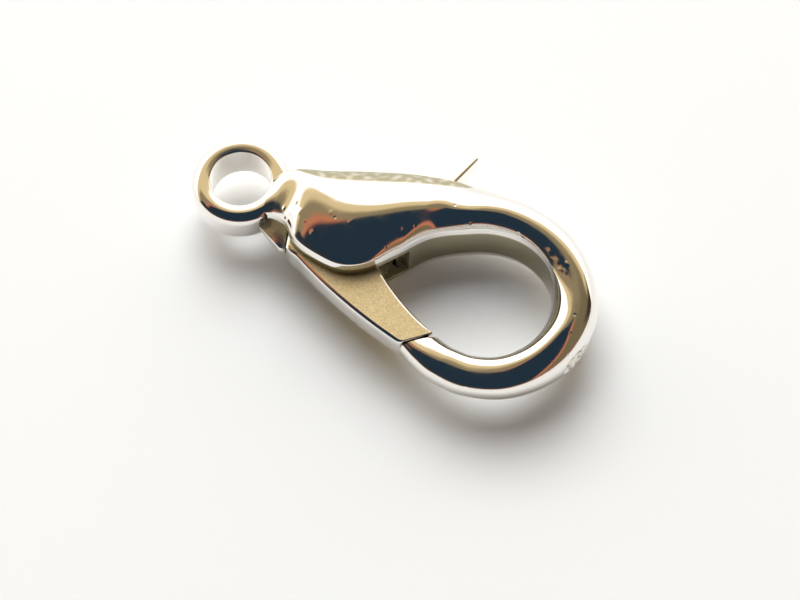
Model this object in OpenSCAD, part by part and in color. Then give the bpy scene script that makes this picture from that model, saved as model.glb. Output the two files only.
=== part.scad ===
// Lobster clasp, 12 mm: a die-cast body whose ring, cheeks and hook are one piece, a trigger lever
// that closes the hook, the pin it turns on and the small coil spring that shuts it.
// The clasp lies flat. +X runs from the ring to the hook, +Y to the thumb tab, +Z is up.
// The outlines are laid out from the centre of the ring, on the middle plane of the casting.

/* [Ring] */
// Hole through the ring
ring_hole_d = 1.7; // [1.4:0.05:1.9]
// Wall of the ring, measured outwards
ring_wall = 0.52; // [0.45:0.01:0.6]
// Height of the ring along its hole
ring_t = 1.1; // [0.9:0.05:1.2]

/* [Cheeks] */
// Thickness over both cheeks at their crests
cheek_t = 2.7; // [2.6:0.05:3.2]
// Height over both rims of the cheeks
rim_t = 1.7; // [1.6:0.05:1.8]
// How far the rims bulge out beside the ring's axis line, on the gate side
rim_reach = 1.63; // [1.55:0.01:1.7]
// How far the spine stands out on the tab side
spine_reach = 2.43; // [2.35:0.01:2.6]

/* [Hook] */
// Ring centre to hook centre, along the clasp
hook_x = 7.7; // [7.6:0.05:8.4]
// How far the hook centre lies below the ring's axis line
hook_drop = 0.72; // [0.65:0.01:0.8]
// Twice the inner radius of the hook where it leaves the cheeks
hook_hole_d = 3.9; // [3.7:0.05:4.1]
// Width of the hook's arm beside its tip
arm_w = 1.0; // [0.85:0.05:1.1]
// Thickness of the hook's arm where it leaves the cheeks
hook_t = 2.1; // [1.9:0.05:2.3]
// Height of the flat wall inside the hook, where it leaves the cheeks
wall_t = 1.4; // [1.2:0.05:1.5]
// Height of the steep facet above the flat inner wall
lip_h = 0.19; // [0.12:0.01:0.22]
// How far that facet leans outwards
lip_w = 0.07; // [0.04:0.01:0.1]
// How far the flat inner wall draws back from its middle to the facet
draft = 0.02; // [0.01:0.01:0.03]

/* [Lever] */
// Reach of the lever's hub round the pivot
hub_reach = 1.5; // [1.4:0.05:1.5]
// Place of the pivot along the clasp, from the ring centre
pivot_x = 3.0; // [2.9:0.05:3.1]
// Place of the pivot across the clasp
pivot_y = 0; // [-0.1:0.05:0.1]
// Thickness of the lever
lever_t = 0.85; // [0.8:0.05:1.0]
// How far the lever opens, in degrees
open_deg = 25; // [15:1:27]
// Place of the thumb tab's root along the clasp, from the pivot
tab_x = 1.4; // [1.3:0.05:1.5]
// How far the thumb tab stands out past the spine
tab_reach = 1.06; // [0.7:0.02:1.3]
// Width of the thumb tab where it leaves the spine
tab_w = 1.1; // [0.9:0.05:1.2]
// How far the gate's inner corner stays behind the inner edge of the tip
gate_inset = 0.14; // [0.05:0.01:0.2]
// Outward bow of the gate's long edges
gate_bow = 0.12; // [0.05:0.01:0.2]

/* [Pin and spring] */
// Diameter of the pivot pin
pin_d = 0.7; // [0.6:0.05:0.8]
// Length of the pivot pin
pin_l = 2.0; // [1.8:0.05:2.2]
// Diameter of the spring wire
wire_d = 0.18; // [0.14:0.01:0.2]
// Turns of the spring
turns = 2; // [1:1:2]

/* [Clearances] */
// Gap between the gate's end and the tip of the hook
gate_gap = 0.06; // [0.04:0.01:0.1]
// Gap between the lever and each cheek
side_gap = 0.06; // [0.05:0.01:0.08]
// Gap round the lever inside the cheeks
swing_gap = 0.1; // [0.08:0.01:0.14]
// Radial play of the pin in the lever
pin_play = 0.03; // [0.02:0.005:0.05]

/* [Hidden] */
$fn = 48;
PLATING = "#d9d6cf";
GATE_FACE = "#d8c99f";
STEEL = "#9a9b9e";

ring_r = ring_hole_d / 2 + ring_wall;
hook_c = [hook_x, -hook_drop];
hook_r = hook_hole_d / 2;
pivot = [pivot_x, pivot_y];
slot_t = lever_t + 2 * side_gap;
over = 1;

// Sections of the neck and cheeks, from the ring to the hook. in and out are the rim and the spine:
// x as a share of hook_x, y as a share of rim_reach and of spine_reach. thick and rim are shares of
// the half heights, and crest is the place of the highest point from rim to spine.
// [in_x,  in_y,   out_x, out_y, thick, rim,  crest]
CHEEK_ROWS = [
  [0.123, -0.405, 0.117, 0.20, 0.62, 0.80, 0.50],
  [0.169, -0.577, 0.156, 0.33, 0.71, 0.84, 0.50],
  [0.227, -0.607, 0.214, 0.43, 0.82, 0.91, 0.50],
  [0.292, -0.837, 0.279, 0.52, 0.92, 0.97, 0.49],
  [0.383, -0.972, 0.370, 0.65, 0.98, 1.00, 0.48],
  [0.481, -1.000, 0.474, 0.78, 1.00, 1.00, 0.46],
  [0.565, -0.804, 0.591, 0.90, 0.98, 1.00, 0.46],
  [0.643, -0.368, 0.708, 0.98, 0.91, 0.96, 0.42],
  [0.727,  0.150, 0.805, 1.00, 0.82, 0.89, 0.37],
];

// Sections of the hook, from the cheeks round to the tip. in and out are the bearings of the inner
// and outer edge seen from the hook's centre. inner is a share of the hook's radius, width one of
// arm_w, thick and wall are shares of the half heights. flat is the power of the section's curves,
// where 2 is an ellipse and more is flatter on top. crisp is 1 with a flat inner wall, 0 without.
// [in_deg, out_deg, inner, width, thick, wall, crest, flat, crisp]
HOOK_ROWS = [
  [ 131,  104, 1.01, 1.22, 1.02, 1.00, 0.37, 2.3, 1.0],
  [ 108,   89, 0.96, 1.20, 0.96, 1.00, 0.36, 2.4, 1.0],
  [  84,   72, 0.94, 1.19, 0.90, 1.00, 0.34, 2.4, 1.0],
  [  60,   54, 0.92, 1.18, 0.84, 1.00, 0.37, 2.4, 1.0],
  [  36,   34, 0.89, 1.20, 0.79, 0.90, 0.42, 2.3, 0.7],
  [  12,   12, 0.84, 1.29, 0.77, 0.60, 0.47, 2.2, 0.3],
  [ -12,  -12, 0.82, 1.24, 0.75, 0.45, 0.49, 2.2, 0.1],
  [ -36,  -36, 0.82, 1.16, 0.64, 0.30, 0.49, 2.2, 0.0],
  [ -60,  -60, 0.84, 1.09, 0.52, 0.20, 0.48, 2.3, 0.0],
  [ -82,  -84, 0.85, 1.06, 0.46, 0.20, 0.48, 2.3, 0.0],
  [-100, -104, 0.86, 1.05, 0.45, 0.20, 0.53, 2.3, 0.0],
  [-110, -117, 0.87, 1.05, 0.44, 0.20, 0.64, 2.2, 0.0],
  [-119, -127, 0.88, 1.07, 0.42, 0.20, 0.78, 2.1, 0.0],
];

// Lever outline inside the cheeks, from the pivot, on the side that faces the spine and the ring:
// [x, y] as shares of hub_reach
LEVER_BACK = [[0.55, 0.90], [-0.16, 0.62], [-0.68, 0.40], [-0.98, 0.10], [-0.95, -0.25], [-0.78, -0.50]];

// Thumb tab, from the edge next to the hook round its end to its root on the spine:
// [x as a share of tab_w, y as a share of the tab's height over its root]
TAB = [
  [1.00, 0.08], [1.22, 0.76], [1.24, 0.90], [1.13, 0.98], [1.00, 1.00], [0.88, 0.94],
  [0.71, 0.54], [0.39, 0.24], [0.00, 0.00],
];

STEPS = 3;       // stations drawn for each row
RISE_POINTS = 4; // section points from the rim to the crest
FALL_POINTS = 5; // section points from the crest to the outer edge

function mix(a, b, t) = a + (b - a) * t;
function polar(deg, r) = [r * cos(deg), r * sin(deg)];
function unit(v) = v / norm(v);
function left_of(v) = [-v.y, v.x];
function turned(p, deg) = pivot + [[cos(deg), -sin(deg)], [sin(deg), cos(deg)]] * (p - pivot);

// Smooth curve through rows a, b, c, d, between b and c
function curve_value(a, b, c, d, t) =
  b + t * ((c - a) / 2 + t * ((2 * a - 5 * b + 4 * c - d) / 2 + t * (3 * (b - c) + d - a) / 2));
function smooth_rows(rows, steps) = let (last = len(rows) - 1) [
  for (i = [0 : last - 1], k = [0 : steps - 1])
    curve_value(rows[max(i - 1, 0)], rows[i], rows[i + 1], rows[min(i + 2, last)], k / steps),
  rows[last],
];

// A station is [in_x, in_y, out_x, out_y, half thickness, half wall, crest, flat, crisp]
function cheek_station(row) = [
  row[0] * hook_x, row[1] * rim_reach, row[2] * hook_x, row[3] * spine_reach,
  row[4] * cheek_t / 2, row[5] * rim_t / 2, row[6], 2, 1,
];
function hook_station(row) = let (
  inner = hook_c + polar(row[0], row[2] * hook_r),
  outer = hook_c + polar(row[1], row[2] * hook_r + row[3] * arm_w)
) [
  inner.x, inner.y, outer.x, outer.y, row[4] * hook_t / 2, row[5] * wall_t / 2, row[6], row[7], row[8],
];
STATIONS = [
  for (row = CHEEK_ROWS) cheek_station(row),
  for (row = HOOK_ROWS) hook_station(row),
];

// Middle of the clasp's outline and its lowest point, which go to the origin
centre_x = (hook_x + hook_r + arm_w - ring_r) / 2;
centre_y = (spine_reach + tab_reach + min([for (s = STATIONS) s[3]])) / 2;
lift = cheek_t / 2;

// Section of the casting as [distance from the inner edge, height]. The round one rises in a single
// curve from the middle plane to the crest. The crisp one is cut off by a nearly flat inner wall with
// a steep facet above it, and meets its curve at the facet's top. A station may lie between them.
// Both fall in one curve to the outer edge, and the lower half is the same.
function upper_half(width, half, wall, crest, flat, crisp) = let (
  power = 2 / flat,
  start = acos(pow(1 - lip_w / (crest * width), flat / 2)),
  foot = (wall - half * pow(sin(start), power)) / (1 - pow(sin(start), power)),
  rimmed = [
    [0, (wall - lip_h) / 3],
    [draft, wall - lip_h],
    for (i = [0 : RISE_POINTS - 1]) let (a = mix(start, 90, i / RISE_POINTS))
      [crest * width * (1 - pow(cos(a), power)), mix(foot, half, pow(sin(a), power))],
  ],
  rounded = [
    for (a = [10, 35, for (i = [0 : RISE_POINTS - 1]) mix(55, 90, i / RISE_POINTS)])
      [crest * width * (1 - pow(cos(a), power)), half * pow(sin(a), power)],
  ]
) [
  for (i = [0 : len(rimmed) - 1]) mix(rounded[i], rimmed[i], max(0, min(1, crisp))),
  for (i = [0 : FALL_POINTS - 1]) let (a = 90 * i / FALL_POINTS)
    [mix(crest * width, width, pow(sin(a), power)), half * pow(cos(a), power)],
];
function section(width, s) = let (upper = upper_half(width, s[4], s[5], s[6], s[7], s[8])) [
  for (p = upper) p,
  [width, 0],
  for (p = backwards(upper)) [p.x, -p.y],
];
function station_points(s) = let (
  inner = [s[0], s[1]],
  outer = [s[2], s[3]],
  across = unit(outer - inner)
) [
  for (p = section(norm(outer - inner), s))
    [inner.x + across.x * p.x, inner.y + across.y * p.x, p.y],
];

// Solid skinned over the sections of the stations. Each end is closed by strips that run from a
// point above to the same point below
function end_strips(first, count) = let (half = (count - 1) / 2) [
  for (i = [0 : half - 2]) [first + i, first + i + 1, first + count - 2 - i, first + count - 1 - i],
  [first + half - 1, first + half, first + half + 1],
];
function backwards(list) = [for (i = [len(list) - 1 : -1 : 0]) list[i]];
module skinned(loops) {
  count = len(loops[0]);
  last = len(loops) - 1;
  polyhedron(
    points = [for (loop = loops, p = loop) p],
    faces = [
      for (face = end_strips(0, count)) backwards(face),
      for (i = [0 : last - 1], j = [0 : count - 1]) let (
        a = i * count + j,
        b = i * count + (j + 1) % count
      ) each [[a, b, b + count], [a, b + count, a + count]],
      each end_strips(last * count, count),
    ]
  );
}

// Outline grown outwards by an equal distance on every side
function grown(points, d) = let (n = len(points)) [
  for (i = [0 : n - 1]) let (
    before = unit(points[i] - points[(i + n - 1) % n]),
    after = unit(points[(i + 1) % n] - points[i]),
    side = -left_of(unit(before + after))
  ) points[i] + side * d / max(0.5, side * -left_of(after)),
];

// Points between a and b on a shallow bow, without a itself
function bowed(a, b, bow, count) = [
  for (i = [1 : count]) let (t = i / count)
    mix(a, b, t) - left_of(unit(b - a)) * bow * 4 * t * (1 - t),
];

// The tip of the hook: its end face runs from tip_out to tip_in, and the gate's end is parallel
tip = STATIONS[len(STATIONS) - 1];
tip_in = [tip[0], tip[1]];
tip_out = [tip[2], tip[3]];
tip_way = unit(tip_in - tip_out);
end_out = tip_out + left_of(tip_way) * gate_gap;
end_in = tip_in - tip_way * gate_inset + left_of(tip_way) * gate_gap;

// Roots of the gate's two long edges, and the thumb tab
heel = [pivot_x - 0.66 * hub_reach, pivot_y - 0.94 * hub_reach];
gate_root_out = [pivot_x - 0.42 * hub_reach, pivot_y - 1.04 * hub_reach];
gate_root_in = [pivot_x + 0.98 * hub_reach, pivot_y - 0.60 * hub_reach];
waist = [pivot_x + 1.08 * hub_reach, pivot_y];
tab_root = [pivot_x + tab_x, 0.89 * spine_reach];
tab_h = spine_reach + tab_reach - tab_root.y;

// Edges of the lever. GATE_OUT and GATE_IN are the long edges of the gate, from its root to its end
// and back, and HUB is the rest, from the waist round the tab and the back to the gate's root
GATE_OUT = bowed(gate_root_out, end_out, gate_bow, 5);
GATE_IN = bowed(end_in, gate_root_in, -gate_bow, 5);
HUB = [
  waist,
  [tab_root.x + 0.62 * tab_w, 0.45 * spine_reach],
  for (p = TAB) tab_root + [p.x * tab_w, p.y * tab_h],
  for (p = LEVER_BACK) pivot + p * hub_reach,
  heel,
  each bowed(heel, gate_root_out, gate_bow / 4, 2),
];

// Outline of the closed lever, and of its part that swings between the cheeks, anticlockwise
LEVER = [each GATE_OUT, end_in, each GATE_IN, each HUB];
INNER_LEVER = [for (i = [0 : 2]) GATE_OUT[i], for (i = [1 : 4]) GATE_IN[i], each HUB];

// Coil spring: it sits on the pin in a round seat in the lever's underside, and its leg runs
// through a notch to the back of the pocket
seat_depth = (turns + 0.5) * wire_d + 2 * pin_play;
coil_in_r = pin_d / 2 + pin_play;
coil_r = coil_in_r + wire_d;
seat_r = coil_r + pin_play;
leg_deg = 140;
leg_room = 12;
leg_end = seat_r + 4 * wire_d;
coil_low = -lever_t / 2 + pin_play;

module at_rest() {
  translate([-centre_x, -centre_y, lift]) children();
}

// Ring, slightly rounded at the hole and well rounded outside
module ring() {
  in_round = 0.2 * ring_wall;
  out_round = 0.6 * ring_wall;
  upper = [
    for (a = [0 : 30 : 90])
      [ring_hole_d / 2 + in_round * (1 - cos(a)), ring_t / 2 - in_round * (1 - sin(a))],
    for (a = [0 : 30 : 90]) [ring_r - out_round * (1 - sin(a)), ring_t / 2 - out_round * (1 - cos(a))],
  ];
  rotate(180) rotate_extrude() polygon([for (p = upper) p, for (p = backwards(upper)) [p.x, -p.y]]);
}

// Web that carries the ring between the two cheeks; its outer wall runs on in the lever's heel
module neck_web() {
  linear_extrude(slot_t, center = true) polygon([
    [ring_r - 0.6 * ring_wall, -0.2 * hub_reach],
    polar(-50, ring_r - ring_wall / 2),
    polar(-46, ring_r - 0.1 * ring_wall),
    [heel.x - 0.47 * hub_reach, heel.y + 0.24 * hub_reach],
    [heel.x - 0.19 * hub_reach, heel.y + 0.13 * hub_reach],
    [heel.x - 0.12 * hub_reach, heel.y + 0.14 * hub_reach],
    [heel.x, -0.2 * hub_reach],
  ]);
}

// Room for the lever between the cheeks: where its inner part swings, and the mouth beside the neck
module pocket() {
  linear_extrude(slot_t, center = true) {
    for (share = [0, 0.25, 0.5, 0.75, 1])
      polygon([for (p = grown(INNER_LEVER, swing_gap)) turned(p, share * open_deg)]);
    polygon([
      [heel.x, -0.2 * hub_reach],
      [heel.x, -rim_reach - over],
      [gate_root_in.x, -rim_reach - over],
      [gate_root_in.x - swing_gap, gate_root_in.y],
      pivot,
    ]);
  }
}

module clasp_body() {
  color(PLATING) at_rest() difference() {
    union() {
      skinned([for (s = smooth_rows(STATIONS, STEPS)) station_points(s)]);
      ring();
      neck_web();
    }
    cylinder(d = ring_hole_d, h = cheek_t, center = true);
    pocket();
    translate(pivot) cylinder(d = pin_d, h = pin_l, center = true);
    spring_leg(pin_play);
  }
}

// Leg of the spring, or the hole for it with some play, from the coil to the web behind the lever
module spring_leg(play) {
  translate([pivot.x, pivot.y, coil_low + wire_d / 2]) rotate([0, 90, leg_deg])
    translate([0, 0, coil_r - wire_d / 2]) cylinder(d = wire_d + 2 * play, h = leg_end - coil_r + play);
}

module trigger_lever() {
  low = -lever_t / 2;
  color(GATE_FACE) at_rest() difference() {
    linear_extrude(lever_t, center = true) polygon(LEVER);
    translate(pivot) cylinder(d = pin_d + 2 * pin_play, h = lever_t + over, center = true);
    translate([pivot.x, pivot.y, low - over]) {
      cylinder(r = seat_r, h = seat_depth + over);
      linear_extrude(seat_depth + over) polygon([
        [0, 0],
        for (i = [0 : 3]) polar(leg_deg + leg_room - i * (open_deg + 2 * leg_room) / 3, spine_reach),
      ]);
    }
  }
}

module pivot_pin() {
  color(STEEL) at_rest() translate(pivot) cylinder(d = pin_d, h = pin_l, center = true);
}

module coil_spring() {
  color(STEEL) at_rest() {
    translate([pivot.x, pivot.y, coil_low]) rotate_extrude()
      translate([coil_in_r, 0]) square([wire_d, turns * wire_d]);
    spring_leg(0);
  }
}

clasp_body();
trigger_lever();
pivot_pin();
coil_spring();
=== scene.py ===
"""Looks of a small trigger lobster clasp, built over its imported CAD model.

Sizes are in millimetres, laid out from the centre of the ring on the middle plane of the casting, as
the CAD source lays them out. Placement turns them into metres in the row's frame.
"""

import logging
import math
from dataclasses import dataclass
from enum import Enum
from typing import Any, Optional

import bmesh
import bpy
import numpy as np
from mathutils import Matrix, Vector


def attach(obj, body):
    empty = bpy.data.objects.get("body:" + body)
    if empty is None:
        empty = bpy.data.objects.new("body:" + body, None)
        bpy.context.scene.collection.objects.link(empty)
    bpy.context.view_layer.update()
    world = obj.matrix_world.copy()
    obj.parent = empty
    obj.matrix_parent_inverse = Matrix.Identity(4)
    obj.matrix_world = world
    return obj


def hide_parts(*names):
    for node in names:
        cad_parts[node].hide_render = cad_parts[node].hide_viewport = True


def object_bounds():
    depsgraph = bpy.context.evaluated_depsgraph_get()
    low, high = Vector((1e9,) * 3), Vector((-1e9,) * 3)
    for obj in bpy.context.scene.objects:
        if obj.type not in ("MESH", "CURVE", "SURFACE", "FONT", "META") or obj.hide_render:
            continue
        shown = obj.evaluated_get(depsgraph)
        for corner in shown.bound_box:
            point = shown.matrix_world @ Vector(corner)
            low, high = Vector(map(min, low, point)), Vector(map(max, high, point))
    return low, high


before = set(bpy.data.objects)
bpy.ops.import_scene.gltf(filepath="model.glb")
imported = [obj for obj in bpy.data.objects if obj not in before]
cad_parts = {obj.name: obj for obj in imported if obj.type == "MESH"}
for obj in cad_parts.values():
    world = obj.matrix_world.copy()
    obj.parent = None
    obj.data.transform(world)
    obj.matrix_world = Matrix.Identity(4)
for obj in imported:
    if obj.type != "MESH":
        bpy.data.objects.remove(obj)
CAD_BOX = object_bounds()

log = logging.getLogger("clasp")
Array = np.ndarray
MM = 0.001


class Body(Enum):
    """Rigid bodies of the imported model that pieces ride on."""

    CASTING = "body"
    LEVER = "lever"


class Slot(Enum):
    """Material slots of the record that the finished pieces take."""

    PLATED_BODY = "plated_body"
    PLATED_LEVER = "plated_lever"


class Join(Enum):
    """How one solid is worked into another."""

    ADD = "UNION"
    CUT = "DIFFERENCE"


# Geometry in whole arrays


def mix(a: Any, b: Any, t: Any) -> Any:
    """Value a share t of the way from a to b."""
    return a + (b - a) * t


def polar(deg: Any, r: Any) -> Array:
    """Points at bearing deg and radius r round the origin, as [..., 2]."""
    a = np.radians(deg)
    return np.stack([r * np.cos(a), r * np.sin(a)], -1)


def smooth_rows(rows: Array, steps: int) -> Array:
    """Smooth curve through rows of numbers.

    Between rows b and c, with a before and d after, it is the cubic that passes through b and c
    with slopes (c - a) / 2 and (d - b) / 2. At either end the row itself stands for the missing one.

    Args:
        rows: The rows, [n, k].
        steps: Stations drawn for each row.

    Returns:
        Rows along the curve, [(n - 1) * steps + 1, k].
    """
    last = len(rows) - 1
    u = np.linspace(0, last, last * steps + 1)
    i = np.minimum(u.astype(int), last - 1)
    t = (u - i)[:, None]
    a, b = rows[np.maximum(i - 1, 0)], rows[i]
    c, d = rows[i + 1], rows[np.minimum(i + 2, last)]
    return b + t * ((c - a) / 2 + t * ((2 * a - 5 * b + 4 * c - d) / 2 + t * (3 * (b - c) + d - a) / 2))


def bowed(a: Array, b: Array, bow: float, count: int) -> Array:
    """Points from a to b on a shallow parabola that stands out by bow, without a itself.

    Args:
        a: Start.
        b: End.
        bow: Height of the bow, to the right of the way from a to b.
        count: Number of points.

    Returns:
        The points, [count, 2].
    """
    t = np.linspace(0, 1, count + 1)[1:, None]
    way = (b - a) / np.linalg.norm(b - a)
    return mix(a, b, t) + np.array([way[1], -way[0]]) * bow * 4 * t * (1 - t)


def outward_sides(points: Array) -> tuple[Array, Array]:
    """Outward direction at each corner of an anticlockwise outline.

    It is the half-way direction between the two edges' normals, and its length is 1 / cos of half
    the turn, so that a shift along it moves both edges by the same distance.

    Args:
        points: Outline, [n, 2].

    Returns:
        Unit directions [n, 2] and lengths [n, 1].
    """
    before = points - np.roll(points, 1, 0)
    after = np.roll(points, -1, 0) - points
    before /= np.linalg.norm(before, axis=1, keepdims=True)
    after /= np.linalg.norm(after, axis=1, keepdims=True)
    way = before + after
    way /= np.linalg.norm(way, axis=1, keepdims=True)
    side = np.stack([way[:, 1], -way[:, 0]], 1)
    normal = np.stack([after[:, 1], -after[:, 0]], 1)
    return side, 1 / np.maximum(0.5, (side * normal).sum(1, keepdims=True))


def grown(points: Array, distance: float) -> Array:
    """Outline moved outwards by an equal distance on every side."""
    side, length = outward_sides(points)
    return points + side * length * distance


def rounded_corner(before: Array, corner: Array, after: Array, radius: float, count: int) -> Array:
    """Corner of an outline replaced by a curve that leaves both edges smoothly.

    It is the quadratic curve from a point radius back on one edge, by the corner, to a point radius
    on along the other.

    Args:
        before: Point before the corner.
        corner: The corner.
        after: Point after the corner.
        radius: How far the curve reaches along each edge.
        count: Number of points.

    Returns:
        The curve's points, [count, 2].
    """
    start = corner + (before - corner) / np.linalg.norm(before - corner) * radius
    end = corner + (after - corner) / np.linalg.norm(after - corner) * radius
    t = np.linspace(0, 1, count)[:, None]
    return start * (1 - t) ** 2 + corner * 2 * t * (1 - t) + end * t**2


def ripple(points: Array, wavelength: float, waves: int, seed: int) -> Array:
    """Smooth uneven field, about -2 to 2: plane waves in random directions laid over each other.

    Each wave is the sine of its way along one direction, with 0.7 to 1.4 times the mean number of
    waves in a mm, and the sum is divided by the root of their number.

    Args:
        points: Places, [n, 3], in mm.
        wavelength: Mean wavelength in mm.
        waves: How many waves are laid over each other.
        seed: Start of the random directions.

    Returns:
        The field's values, [n].
    """
    rng = np.random.default_rng(seed)
    way = rng.normal(size=(waves, 3))
    way /= np.linalg.norm(way, axis=1, keepdims=True)
    way *= 2 * np.pi / wavelength * rng.uniform(0.7, 1.4, (waves, 1))
    phase = rng.uniform(0, 2 * np.pi, waves)
    return np.sin(points @ way.T + phase).sum(1) / math.sqrt(waves)


def window(value: Array, low: float, high: float, fade: float) -> Array:
    """1 where value is between low and high, falling in an S curve to 0 over fade on either side."""
    t = np.clip(np.minimum(value - low, high - value) / fade + 0.5, 0, 1)
    return t * t * (3 - 2 * t)


def distance_to_line(points: Array, line: Array) -> Array:
    """Distance of points in the plane from a line of several straight parts.

    Args:
        points: Places, [n, 2].
        line: Corners of the line, [m, 2].

    Returns:
        The distances, [n].
    """
    a, way = line[:-1], np.diff(line, axis=0)
    t = np.clip(((points[:, None] - a) * way).sum(2) / (way**2).sum(1), 0, 1)
    return np.linalg.norm(points[:, None] - a - t[..., None] * way, axis=2).min(1)


def grid_faces(rows: int, columns: int, closed: bool = True) -> Array:
    """Four-sided faces between neighbouring points of a grid.

    Args:
        rows: Number of loops.
        columns: Points in each loop.
        closed: Whether the last point of a loop joins the first.

    Returns:
        Point numbers, [faces, 4].
    """
    i, j = np.meshgrid(np.arange(rows - 1), np.arange(columns if closed else columns - 1), indexing="ij")
    a, b = i * columns + j, i * columns + (j + 1) % columns
    return np.stack([a, b, b + columns, a + columns], -1).reshape(-1, 4)


# Placement and meshes


@dataclass(frozen=True)
class Placement:
    """Where the laid-out clasp lies in the row's frame: its middle at the origin, resting on z = 0."""

    centre_x: float
    centre_y: float
    lift: float

    def metres(self, points: Array) -> Array:
        """Laid-out points in mm as points of the row's frame in metres."""
        return (points - [self.centre_x, self.centre_y, -self.lift]) * MM

    def laid_out(self, points: Array) -> Array:
        """Points of the row's frame in metres as laid-out points in mm."""
        return points / MM + [self.centre_x, self.centre_y, -self.lift]


def new_object(name: str, points: Array, faces: Any) -> bpy.types.Object:
    """Mesh object at the origin.

    Args:
        name: Name of the object and its mesh.
        points: Places in metres, [n, 3].
        faces: Point numbers of each face.

    Returns:
        The object, linked to the scene.
    """
    mesh = bpy.data.meshes.new(name)
    mesh.from_pydata(points, [], faces.tolist() if isinstance(faces, Array) else faces)
    mesh.validate()
    obj = bpy.data.objects.new(name, mesh)
    bpy.context.scene.collection.objects.link(obj)
    return obj


def tube_object(name: str, loops: Array) -> bpy.types.Object:
    """Closed solid through loops of points, with a flat end at the first and the last loop.

    Args:
        name: Name of the object.
        loops: Places in metres, [loops, points, 3]. Seen from the first loop the points run so
            that the faces look outwards.

    Returns:
        The object.
    """
    rows, columns = loops.shape[:2]
    first = list(range(columns))[::-1]
    last = list(range((rows - 1) * columns, rows * columns))
    return new_object(name, loops.reshape(-1, 3), grid_faces(rows, columns).tolist() + [first, last])


def prism_object(name: str, outline: Array, low: float, high: float, place: Placement) -> bpy.types.Object:
    """Straight prism over an outline, from height low to height high, in mm."""
    loops = np.stack([np.pad(outline, ((0, 0), (0, 1)), constant_values=z) for z in (low, high)])
    return tube_object(name, place.metres(loops))


def work(obj: bpy.types.Object, other: bpy.types.Object, join: Join) -> None:
    """Adds another solid to obj, or cuts it away, and removes the other one.

    Args:
        obj: The solid that stays.
        other: The solid that is added or cut away.
        join: Which of the two.
    """
    step = obj.modifiers.new("work", "BOOLEAN")
    step.operation = join.value
    step.solver = "EXACT"
    step.object = other
    worked = bpy.data.meshes.new_from_object(obj.evaluated_get(bpy.context.evaluated_depsgraph_get()))
    obj.modifiers.clear()
    old, obj.data = obj.data, worked
    worked.name = obj.name
    bpy.data.meshes.remove(old)
    spent = other.data
    bpy.data.objects.remove(other)
    bpy.data.meshes.remove(spent)


def vectors(data: Any, name: str) -> Array:
    """Reads three numbers for each element of a mesh.

    Args:
        data: The mesh's points, faces or point normals.
        name: Property that holds the numbers.

    Returns:
        The numbers, [n, 3].
    """
    values = np.empty(len(data) * 3)
    data.foreach_get(name, values)
    return values.reshape(-1, 3)


def points_of(obj: bpy.types.Object) -> Array:
    """Places of an object's points, [n, 3]."""
    return vectors(obj.data.vertices, "co")


def set_points(obj: bpy.types.Object, points: Array) -> None:
    """Moves an object's points to new places."""
    obj.data.vertices.foreach_set("co", points.astype(np.float32).ravel())
    obj.data.update()


def set_attribute(obj: bpy.types.Object, name: str, values: Array) -> None:
    """Stores one number for each point, for a material to read."""
    layer = obj.data.attributes.new(name, "FLOAT", "POINT")
    layer.data.foreach_set("value", values.astype(np.float32))


def smooth(obj: bpy.types.Object, sharp_deg: float) -> None:
    """Shades an object smooth, with edges sharper than an angle kept crisp."""
    obj.data.polygons.foreach_set("use_smooth", np.ones(len(obj.data.polygons), bool))
    obj.data.set_sharp_from_angle(angle=math.radians(sharp_deg))


# Finishes


def linear(colour: str) -> tuple[float, float, float, float]:
    """Colour as linear light.

    Args:
        colour: sRGB hex value.

    Returns:
        Red, green, blue and alpha.
    """
    c = np.array([int(colour[i : i + 2], 16) / 255 for i in (1, 3, 5)])
    r, g, b = np.where(c <= 0.04045, c / 12.92, ((c + 0.055) / 1.055) ** 2.4)
    return float(r), float(g), float(b), 1.0


def add_node(
    tree: bpy.types.NodeTree,
    kind: str,
    settings: Optional[dict[str, Any]] = None,
    links: Optional[dict[Any, bpy.types.NodeSocket]] = None,
) -> bpy.types.Node:
    """Adds a node with its settings and links.

    Args:
        tree: Node tree that gets the node.
        kind: Blender's name of the node type.
        settings: Property names, or input names or numbers, with their values.
        links: Input names or numbers, with the outputs that feed them.

    Returns:
        The node.
    """
    node = tree.nodes.new(kind)
    for name, value in (settings or {}).items():
        if isinstance(name, str) and hasattr(node, name):
            setattr(node, name, value)
        else:
            node.inputs[name].default_value = value
    for name, output in (links or {}).items():
        tree.links.new(output, node.inputs[name])
    return node


def new_tree(name: str) -> tuple[bpy.types.Material, bpy.types.NodeTree]:
    """Makes an empty material.

    Args:
        name: Its name.

    Returns:
        The material and its node tree.
    """
    material = bpy.data.materials.new(name)
    material.use_nodes = True
    material.node_tree.nodes.clear()
    return material, material.node_tree


def set_stops(node: bpy.types.Node, stops: list[tuple[float, tuple[float, float, float, float]]]) -> None:
    """Sets the stops of a colour ramp.

    Args:
        node: The colour ramp node.
        stops: Place and linear colour of each stop, in order.
    """
    ramp = node.color_ramp
    while len(ramp.elements) > 1:
        ramp.elements.remove(ramp.elements[-1])
    for i, (place, colour) in enumerate(stops):
        element = ramp.elements[0] if i == 0 else ramp.elements.new(place)
        element.position, element.color = place, colour


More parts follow.
